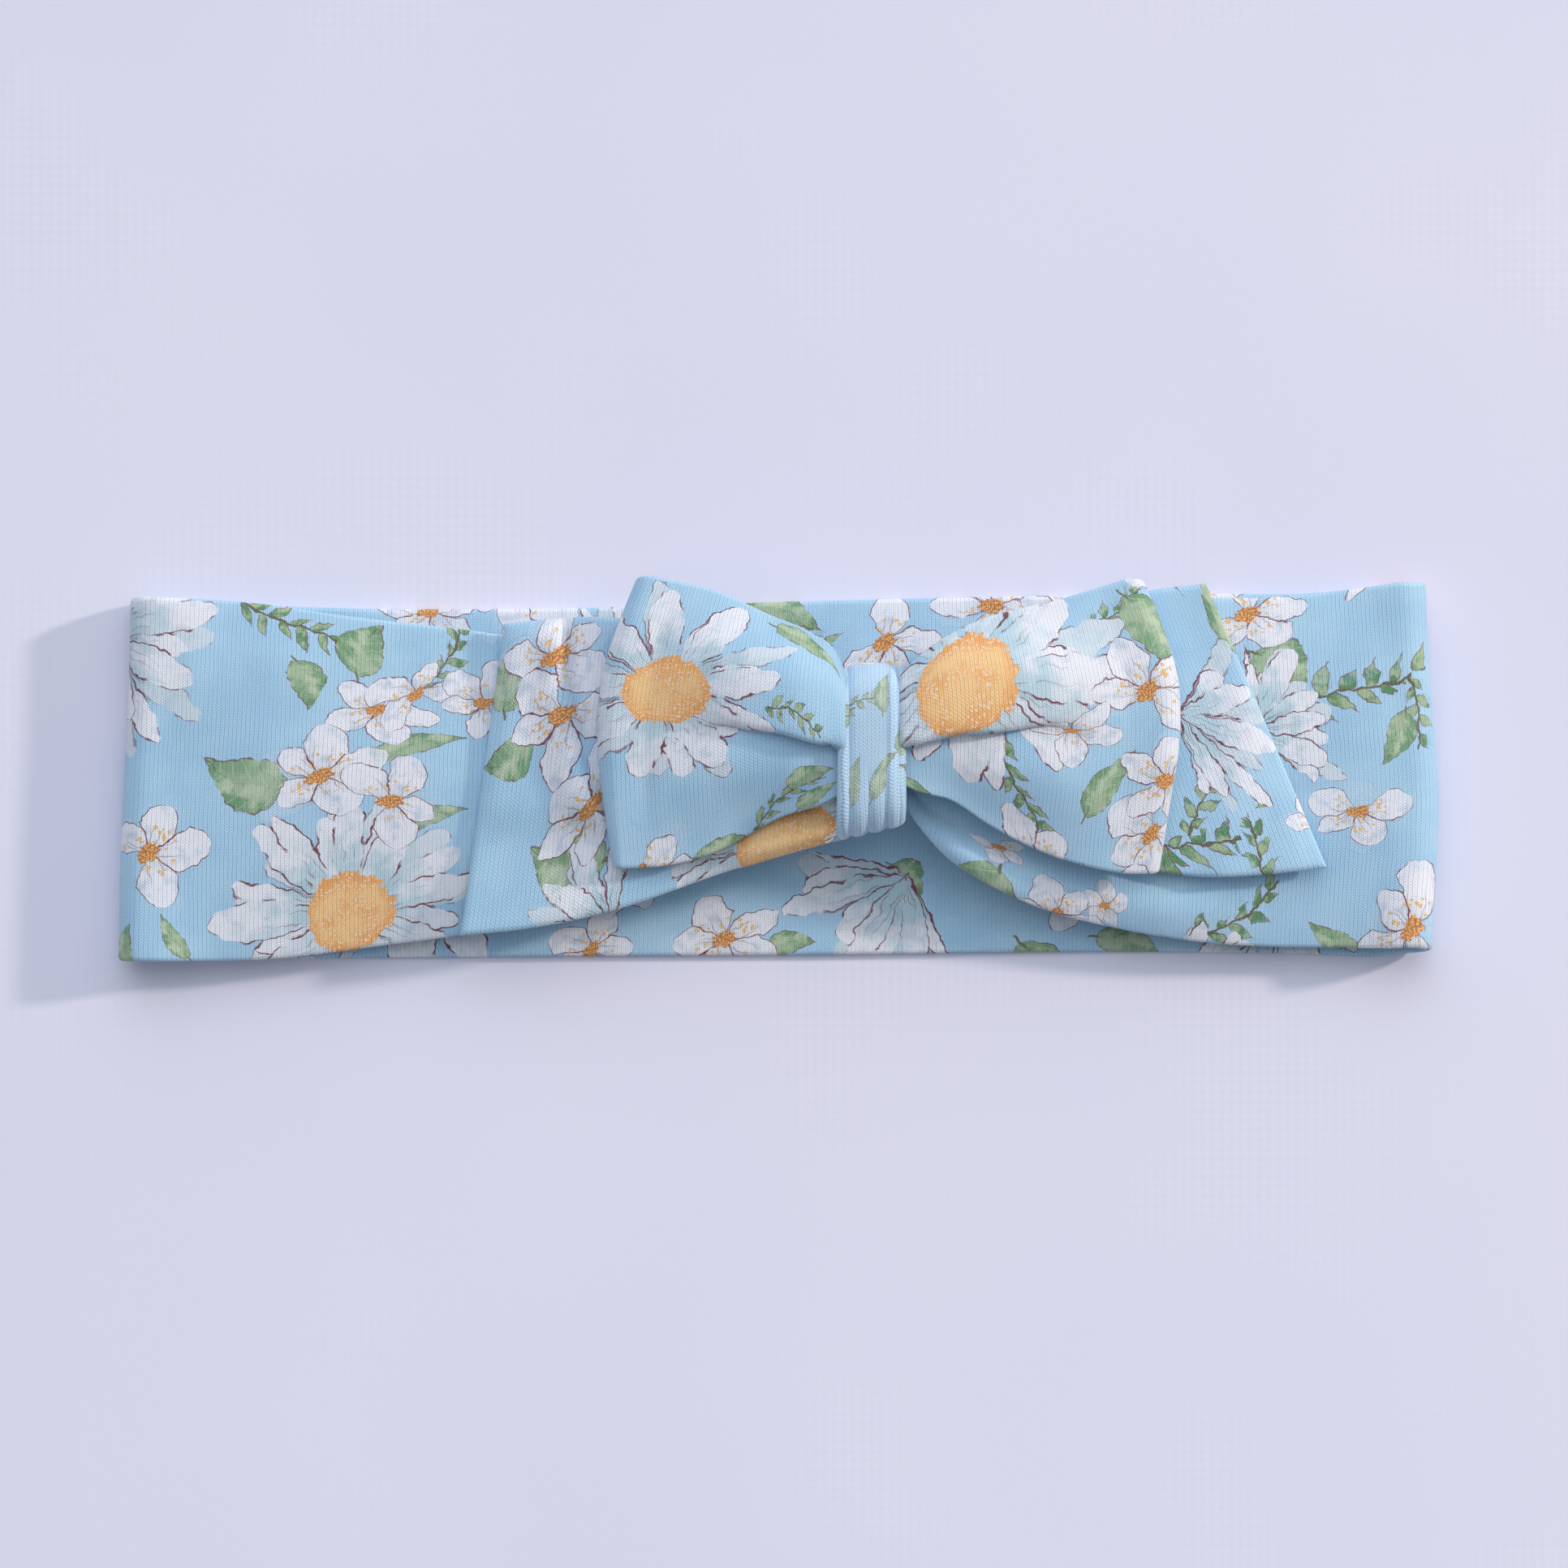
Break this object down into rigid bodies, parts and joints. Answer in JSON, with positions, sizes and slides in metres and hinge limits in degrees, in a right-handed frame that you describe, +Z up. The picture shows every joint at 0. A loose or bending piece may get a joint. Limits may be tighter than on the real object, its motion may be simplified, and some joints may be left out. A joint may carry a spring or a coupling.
{
  "type": "knotted headband",
  "caption": "Soft jersey tube headband lying flat, its front layer gathered through a wrapped knot with a two-loop bow and slanted tails.",
  "frame": {"origin": "on the surface that the band lies on, under the middle of its bounding box", "axes": "+X runs along the flat band from its left fold to its right fold, +Y runs across the band's width towards the bow's upper edge, and +Z points up from the surface towards the knot"},
  "size_m": [0.19, 0.0552, 0.0211],
  "materials": {
    "printed_jersey": "fine single jersey of cotton and elastane, sky blue with a painted print of white daisies, pale blossoms and green leaves",
    "thread": "pale blue-white spun polyester sewing thread"
  },
  "bodies": {
    "band_back": {"back_panel": "printed_jersey", "left_end_fold": "printed_jersey", "right_end_fold": "printed_jersey", "long_seam_back": "thread"},
    "band_front": {"front_panel_left": "printed_jersey", "front_panel_right": "printed_jersey", "long_seam_front": "thread", "band_join_stitches": "thread", "bow_core": "printed_jersey", "gathering_thread": "thread", "knot_wrap": "printed_jersey", "knot_closing_stitches": "thread", "loose_thread_end": "thread"},
    "tail_left": {"left_tail": "printed_jersey"},
    "tail_right": {"right_tail": "printed_jersey"},
    "loop_left": {"left_loop": "printed_jersey"},
    "loop_right": {"right_loop": "printed_jersey"}
  },
  "joints": [
    {"name": "head_loop_stretch", "type": "slide", "parent": "band_back", "child": "band_front", "axis": [0, 0, 1], "range_m": [0, 0.03], "stiffness_N_per_m": 60, "deforming": ["left_end_fold", "right_end_fold"]},
    {"name": "tail_left_lift", "type": "hinge", "parent": "band_front", "child": "tail_left", "pos_m": [0.005, 0, 0.01619], "axis": [0, 1, 0], "range_deg": [0, 35]},
    {"name": "tail_right_lift", "type": "hinge", "parent": "band_front", "child": "tail_right", "pos_m": [0.0218, 0, 0.01619], "axis": [0, -1, 0], "range_deg": [0, 35]},
    {"name": "loop_left_lift", "type": "hinge", "parent": "tail_left", "child": "loop_left", "pos_m": [0.005, 0, 0.01619], "axis": [0, 1, 0], "range_deg": [0, 45]},
    {"name": "loop_right_lift", "type": "hinge", "parent": "tail_right", "child": "loop_right", "pos_m": [0.0218, 0, 0.01619], "axis": [0, -1, 0], "range_deg": [0, 45]}
  ]
}
